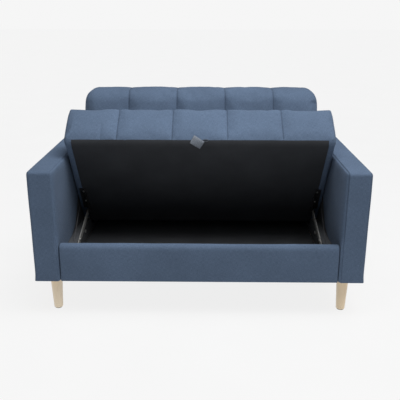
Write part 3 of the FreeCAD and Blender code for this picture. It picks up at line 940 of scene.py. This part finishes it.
def make_arm(side):
    """One arm's padded cover, shaped on the right and turned over for the left."""
    seam_places = (ARM_INNER + 0.0015, HALF_WIDTH - 0.0045)

    def seams(plain):
        reach = min(ARM_TOP - plain.z, plain.y, DEPTH - plain.y)
        # The painted seam shade and the groove are made weaker on the left arm, where the seam is lit,
        # and from just above the front panel's top downwards.
        softer = 0.0012 if side == "left" else 0.0
        softer += 0.002 * smooth_step(-plain.z, -PANEL_TOP - 0.05, -PANEL_TOP)
        return softer + min(math.hypot(plain.x - seam, reach) for seam in seam_places)

    marks = seam_places + (ARM_INNER + ARM_RIM, HALF_WIDTH - ARM_RIM)
    step = 0.016
    fine = (0.001, 0.003, 0.006, 0.010, 0.014, 0.016, 0.022, 0.030)
    xs = stops(ARM_INNER, HALF_WIDTH, ARM_RIM, marks, (0.0, 0.0018))
    ys = stops(0.0, DEPTH, step, ends=fine)
    zs = stops(BASE, ARM_TOP, step, ends=fine)
    name = side + "_arm_pad"
    mesh = box_shell(name, xs, ys, zs, arm_place, seams)
    pad = piece(name, mesh, UPHOLSTERY, "base")
    flip = -1 if side == "left" else 1
    for v in mesh.vertices:
        v.co = at(flip * v.co.x, v.co.y, v.co.z)
    if flip < 0:
        mesh.flip_normals()
    subdivided(pad)
    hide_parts(side + "_arm_cover")


def panel_place(plain):
    """Moves a point of the front panel's plain box onto its padded cover."""
    low = Vector((-PANEL_HALF, PANEL_FRONT, BASE))
    high = Vector((PANEL_HALF, PANEL_REAR, PANEL_TOP - 0.001))
    end_radius = 0.004
    sharp = 0.003
    softer = 0.014
    rim = 0.010
    radius = sharp + softer * smooth_step(plain.z, BASE, BASE + 0.04)
    point, out = rounded(plain, low, high, (end_radius, radius, radius))
    if out.z < -FACING:
        edge = min(PANEL_HALF - abs(plain.x), plain.y - PANEL_FRONT, PANEL_REAR - plain.y)
        point.z += hollow_below(edge - rim)
        return point
    tall = (plain.z - BASE) / (PANEL_TOP - BASE)
    if out.y < -FACING:
        fullest = 0.0018
        point.y += fabric_noise(plain, 8.0, 0.0013) - fullest * arch(tall)
    elif out.z > FACING:
        point.z += 0.0006 + fabric_noise(plain, 11.0, 0.001)
    return point


def make_front_panel():
    """The padded cover of the front panel, without seams."""
    xs = stops(-PANEL_HALF, PANEL_HALF, 0.016)
    ys = stops(PANEL_FRONT, PANEL_REAR, 0.004)
    zs = stops(BASE, PANEL_TOP, 0.013)
    mesh = box_shell("front_panel_pad", xs, ys, zs, panel_place, lambda plain: NO_SEAM)
    pad = piece("front_panel_pad", mesh, UPHOLSTERY, "base")
    for v in mesh.vertices:
        v.co.y -= DEPTH / 2
    subdivided(pad)
    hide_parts("front_panel_cover")


# The linings


def line_lengths(line):
    return [(b - a).length for a, b in zip(line[:-1], line[1:])]


def along_line(line, share):
    """The point at a share of the length of a line of points."""
    lengths = line_lengths(line)
    left = share * sum(lengths)
    for a, b, length in zip(line[:-1], line[1:], lengths):
        if left <= length:
            return a.lerp(b, left / length)
        left -= length
    return line[-1].copy()


def make_box_cloth():
    """The cloth up the front of the box, over its floor and up the rear board."""
    front = PANEL_REAR + 0.0012
    rear = REAR_BOARD - 0.0012
    bend = 0.166
    line = [
        Vector((0, front, 0.266)),
        Vector((0, front, bend)),
        Vector((0, front + 0.0038, FLOOR_CLOTH)),
        Vector((0, rear - 0.0043, FLOOR_CLOTH)),
        Vector((0, rear, bend)),
        Vector((0, rear, 0.4695)),
    ]

    def place(i, j):
        x = (RAIL_INNER - 0.0012) * (2 * i - 1)
        point = along_line(line, j)
        slack = abs(0.0009 * ripple(x * 6.0, j * 9.0, 5.0))
        if point.z < FLOOR_CLOTH + 0.001:
            point.z += slack + 0.0002
        elif point.y > DEPTH / 2:
            point.y -= slack
        else:
            point.y += slack
        return at(x, point.y, point.z)

    mesh = sheet_mesh("box_cloth", 71, 91, place)
    cloth = piece("box_cloth", mesh, LIT_BOX_LINING, "base")
    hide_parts("box_lining")


def rail_top(d):
    """The height of the cloth on a box rail, whose top is cut down behind the hinge."""
    cut_down = 0.1848
    rise = 0.046
    slope_rear = 0.486
    return cut_down + rise * min(max((slope_rear - d) / rise, 0.0), 1.0)


def make_rail_cloth(side, flip):
    """The cloth over the top of one box rail and down its inner face."""
    front = PANEL_REAR + 0.0015
    rear = REAR_BOARD - 0.0015

    def place(i, j):
        d = front + (rear - front) * i
        top = rail_top(d)
        inner = RAIL_INNER - 0.0008
        profile = [
            Vector((HALF_GAP - 0.0004, 0, top)),
            Vector((inner + 0.0006, 0, top)),
            Vector((inner, 0, top - 0.0006)),
            Vector((inner, 0, FLOOR_CLOTH + 0.0006)),
        ]
        point = along_line(profile, j)
        return at(flip * point.x, d, point.z)

    name = side + "_rail_cloth"
    cloth = piece(name, sheet_mesh(name, 61, 41, place), LIT_BOX_LINING, "base")


def flap_top(d):
    """The height of the flap's upper edge at a depth."""
    for (d0, z0), (d1, z1) in zip(FLAP_EDGE[:-1], FLAP_EDGE[1:]):
        if d <= d1:
            return z0 + (z1 - z0) * (d - d0) / (d1 - d0)
    return FLAP_EDGE[-1][1]


def make_side_cloth(side, flip):
    """The cloth flap on one arm's inner face, and its hem, which shows as a thin line."""
    front = FLAP_EDGE[0][0]
    rear = FLAP_EDGE[-1][0]

    def place(i, j):
        d = front + (rear - front) * i
        low = rail_top(d) + 0.0003
        z = low + (max(flap_top(d), low + 0.0005) - low) * j
        wave = 0.0003 * ripple(d * 14.0, z * 14.0, 2.0)
        return at(flip * (HALF_GAP - 0.0009 + wave), d, z)

    name = side + "_side_cloth"
    mesh = sheet_mesh(name, 81, 17, place)
    cloth = piece(name, mesh, LIT_BOX_LINING, "base")
    if side == "left":
        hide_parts("side_linings")
    hem = [at(flip * x, d, z) for x, d, z in FLAP_HEM]
    tube(side + "_side_hem", hem, 0.0011, HEM, "base")


def make_bottom_cloth():
    """The dust cover under the base."""
    width, length = BOTTOM_CUT

    def place(i, j):
        x = width * (i - 0.5)
        d = BOTTOM_FRONT + length * j
        edge = min(width / 2 - abs(x), length * j, length * (1 - j))
        wave = 0.5 + 0.5 * ripple(x * 5.0, d * 7.0, 12.0)
        return at(x, d, BASE - 0.0006 - 0.0016 * wave * smooth_step(edge, 0.0, 0.08))

    mesh = sheet_mesh("bottom_cloth", 71, 51, place)
    cloth = piece("bottom_cloth", mesh, LINING, "base")
    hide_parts("bottom_dust_cover")


def make_linings():
    make_box_cloth()
    for side, flip in (("left", -1), ("right", 1)):
        make_rail_cloth(side, flip)
        make_side_cloth(side, flip)
    make_bottom_cloth()


# The legs, the screws and the tag


def make_legs():
    for x, d in LEG_PLACES:
        end = "front" if d < DEPTH / 2 else "rear"
        side = "left" if x < 0 else "right"
        name = end + "_" + side + "_leg"
        foot = at(x, d, 0)
        upwards = Vector((0, 0, 1))
        leg = lathe(name + "_turned", LEG_RINGS, foot, upwards, LEG_WOOD, "base")
        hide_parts(name)


def make_seat_screws():
    """The four domed screw heads that hold the hinge brackets under the seat."""
    radius = 0.0050
    height = 0.0024
    dome = [
        (radius * 0.96, 0.0),
        (radius, height * 0.25),
        (radius * 0.93, height * 0.55),
        (radius * 0.72, height * 0.86),
        (radius * 0.42, height),
        (radius * 0.16, height),
    ]
    down = OPENING @ Vector((0, 0, -1))
    bracket = SEAT_LOW - 0.003
    for number, (x, d) in enumerate(SCREW_PLACES, start=1):
        name = "seat_screw_%d" % number
        centre = opened(at(x, d, bracket))
        lathe(name, dome, centre, down, ZINC, "seat", sides=24)
    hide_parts("hinge_seat_screws")


def make_tag():
    """A bare woven label sewn in a slant under the seat's front edge, on a short loop."""
    turn = math.radians(32)
    middle = SEAT_ROLL * math.radians(52)
    width, height = TAG_CUT
    shift = 0.010
    lift = 0.0016

    def place(i, j):
        u = (i - 0.5) * width
        v = (j - 0.5) * height
        x = u * math.cos(turn) - v * math.sin(turn) - shift
        reach = middle + u * math.sin(turn) + v * math.cos(turn)
        curl = lift + 0.0012 * (2 * i - 1) ** 2 + 0.0005 * math.sin(7 * j)
        return opened(under_edge(x, reach, curl))

    tag = piece("tag_blank", sheet_mesh("tag_blank", 13, 10, place), TAG_CLOTH, "seat")
    thickened(tag, 0.0007)
    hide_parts("blank_tag")
    loop = []
    loop_middle = 0.022
    loop_length = 0.0105
    loop_width = 0.0042
    below_middle = 0.007
    steps = 14
    for i in range(steps + 1):
        angle = 2 * math.pi * i / steps
        x = loop_middle + loop_length * math.cos(angle)
        reach = middle - below_middle + loop_width * math.sin(angle)
        loop.append(opened(under_edge(x, reach, lift)))
    tube("tag_loop", loop, 0.0008, TAG_CLOTH, "seat")


make_seat()
make_seat_lining()
make_back()
make_rear_cover()
make_arm("left")
make_arm("right")
make_front_panel()
make_linings()
make_legs()
make_seat_screws()
make_tag()


# Floor, light and camera


def make_floor():
    """A wide pale floor that glows a little, so that it runs into the background."""
    bpy.ops.mesh.primitive_plane_add(size=60, location=(0, 0, 0))
    floor = bpy.context.object
    floor.name = "studio_floor"
    sockets = {
        "Roughness": 0.9,
        "Specular IOR Level": 0.0,
        "Emission Color": grey(1.0),
        "Emission Strength": 0.84,
    }
    made, tree, shader = material("StudioFloor", sockets)
    cloud = noise_of(tree, on_body(tree), scale=3.0)
    shade = ramp(tree, cloud, 0.3, 0.7, to_low=0.076, to_high=0.084)
    tree.links.new(grey_of(tree, shade), shader.inputs["Base Color"])
    floor.data.materials.append(made)


def hang(light, place, way):
    """Puts a light at a place, shining one way."""
    lamp = bpy.data.objects.new(light.name, light)
    lamp.location = place
    lamp.rotation_mode = "QUATERNION"
    lamp.rotation_quaternion = way.to_track_quat("-Z", "Y")
    bpy.context.scene.collection.objects.link(lamp)


def make_light():
    """A dim white room that looks bright where it is seen, a wide sun and a softbox above."""
    world = bpy.data.worlds.new("Studio")
    bpy.context.scene.world = world
    world.use_nodes = True
    tree = world.node_tree
    tree.nodes.clear()
    dim = add(tree, "ShaderNodeBackground", {"Color": grey(1.0), "Strength": 0.18})
    bright = add(tree, "ShaderNodeBackground", {"Color": grey(1.0), "Strength": 0.92})
    seen = add(tree, "ShaderNodeLightPath").outputs["Is Camera Ray"]
    both = add(tree, "ShaderNodeMixShader", {0: seen, 1: dim.outputs[0], 2: bright.outputs[0]})
    end = add(tree, "ShaderNodeOutputWorld")
    tree.links.new(both.outputs[0], end.inputs["Surface"])
    sky = bpy.data.lights.new("Overhead", "SUN")
    sky.energy = 2.1
    sky.angle = math.radians(50)
    hang(sky, Vector((0, 0, 3)), Vector((-0.30, 0.08, -1.0)))
    box = bpy.data.lights.new("Softbox", "AREA")
    box.energy = 17
    box.shape = "RECTANGLE"
    box.size = 1.4
    box.size_y = 0.7
    hang(box, Vector((0.32, -0.5, 1.95)), Vector((-0.10, 0.35, -1.0)))


def make_camera():
    """The photograph's camera, found from the seen edges and corners."""
    pan = -0.0115492
    tilt = 0.3136733
    roll = 0.0013747
    focal_pixels = 593.993
    picture_pixels = 400
    level = math.cos(tilt)
    ahead = Vector((math.sin(pan) * level, math.cos(pan) * level, -math.sin(tilt)))
    right = Vector((math.cos(pan), -math.sin(pan), 0))
    up = right.cross(ahead)
    across = right * math.cos(roll) + up * math.sin(roll)
    upward = up * math.cos(roll) - right * math.sin(roll)
    data = bpy.data.cameras.new("Camera")
    data.sensor_fit = "HORIZONTAL"
    data.sensor_width = 36
    data.lens = data.sensor_width * focal_pixels / picture_pixels
    data.clip_end = 200
    camera = bpy.data.objects.new("Camera", data)
    camera.rotation_mode = "QUATERNION"
    turned = Matrix((across, upward, -ahead)).transposed()
    camera.rotation_quaternion = turned.to_quaternion()
    camera.location = (0.02668, -2.37241, 1.10650)
    bpy.context.scene.collection.objects.link(camera)
    bpy.context.scene.camera = camera


make_floor()
make_light()
make_camera()
bpy.context.scene.view_settings.view_transform = "Standard"
